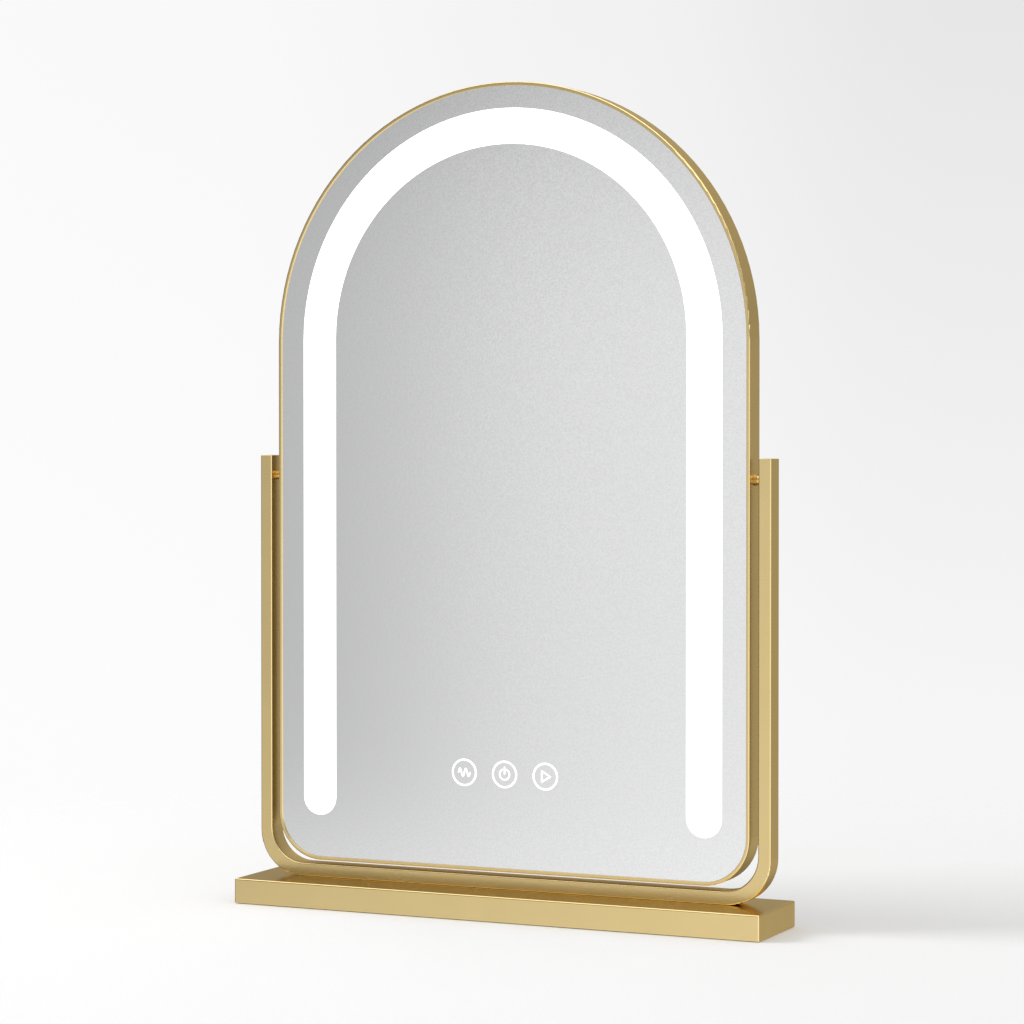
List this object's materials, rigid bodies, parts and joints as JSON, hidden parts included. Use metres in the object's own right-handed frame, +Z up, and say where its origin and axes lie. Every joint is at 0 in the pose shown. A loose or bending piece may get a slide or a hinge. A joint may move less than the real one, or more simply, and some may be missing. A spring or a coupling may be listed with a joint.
{
  "type": "lighted vanity mirror",
  "caption": "Arched backlit mirror with a frosted light band and touch marks, which tilts on side pivots in a U bracket standing on a flat weighted base.",
  "frame": {"origin": "centre of the base's footprint, on the surface that the mirror stands on", "axes": "+Z up, +X to the viewer's right, -Y the way the mirror faces, +Y towards its back"},
  "size_m": [0.356, 0.0636, 0.5191],
  "materials": {
    "gold_steel": "satin champagne gold",
    "gold_aluminium": "satin champagne gold anodising",
    "plain_steel": "bare",
    "dark_plate": "matt black",
    "zinc_screws": "zinc plated",
    "gold_fittings": "satin champagne gold plating",
    "rubber": "matt",
    "bronze": "sintered bronze",
    "mirror": "silvered glass",
    "frosted_light": "frosted, lit from behind",
    "frosted_marks": "frosted, lit from behind",
    "foam_tape": "foam",
    "opal_acrylic": "opal",
    "white_plastic": "satin",
    "strip_board": "white solder mask",
    "led": "phosphor",
    "circuit_board": "green solder mask",
    "copper": "bare copper",
    "capacitor_can": "sleeved can",
    "black_plastic": "satin",
    "red_lead": "satin",
    "cream_plastic": "satin",
    "brass_pin": "plated",
    "cover_plastic": "fine textured"
  },
  "bodies": {
    "stand": {"base_cover": "gold_steel", "base_stiffener": "plain_steel", "base_weight": "plain_steel", "base_bottom_plate": "dark_plate", "rubber_feet": "rubber", "bottom_plate_screws": "zinc_screws", "weight_screws": "zinc_screws", "u_bracket": "gold_steel", "bar_nut_blocks": "plain_steel", "bracket_washers": "zinc_screws", "bracket_screws": "zinc_screws", "upright_cap_left": "gold_steel", "upright_cap_right": "gold_steel", "upright_nut_left": "plain_steel", "upright_nut_right": "plain_steel", "pivot_stud_left": "gold_fittings", "pivot_stud_right": "gold_fittings", "friction_washers_left": "bronze", "friction_washers_right": "bronze", "spring_washers_left": "zinc_screws", "spring_washers_right": "zinc_screws", "lock_nut_left": "zinc_screws", "lock_nut_right": "zinc_screws"},
    "mirror_head": {"back_cover": "cover_plastic", "back_cover_screws": "zinc_screws", "block_screws_left": "gold_fittings", "block_screws_right": "gold_fittings", "driver_board": "circuit_board", "driver_capacitors": "capacitor_can", "driver_coil": "copper", "driver_screws": "zinc_screws", "driver_sockets": "cream_plastic", "frame_splice": "plain_steel", "frame_tabs": "plain_steel", "frosted_light_band": "frosted_light", "jack_nut": "black_plastic", "jack_pin": "brass_pin", "led_chips": "led", "led_strip": "strip_board", "light_diffuser": "opal_acrylic", "light_tray": "white_plastic", "mirror_glass": "mirror", "outer_frame": "gold_aluminium", "pane_tape": "foam_tape", "pivot_block_left": "plain_steel", "pivot_block_right": "plain_steel", "pivot_bush_left": "bronze", "pivot_bush_right": "bronze", "power_jack": "black_plastic", "power_lead": "black_plastic", "splice_rivets": "zinc_screws", "strip_lead": "red_lead", "touch_board": "circuit_board", "touch_board_parts": "black_plastic", "touch_lead": "black_plastic", "touch_mark_left": "frosted_marks", "touch_mark_power": "frosted_marks", "touch_mark_right": "frosted_marks", "touch_pads": "copper"}
  },
  "joints": [
    {"name": "mirror_tilt", "type": "hinge", "parent": "stand", "child": "mirror_head", "pos_m": [0, 0.0073, 0.27305], "axis": [1, 0, 0], "continuous": true}
  ]
}
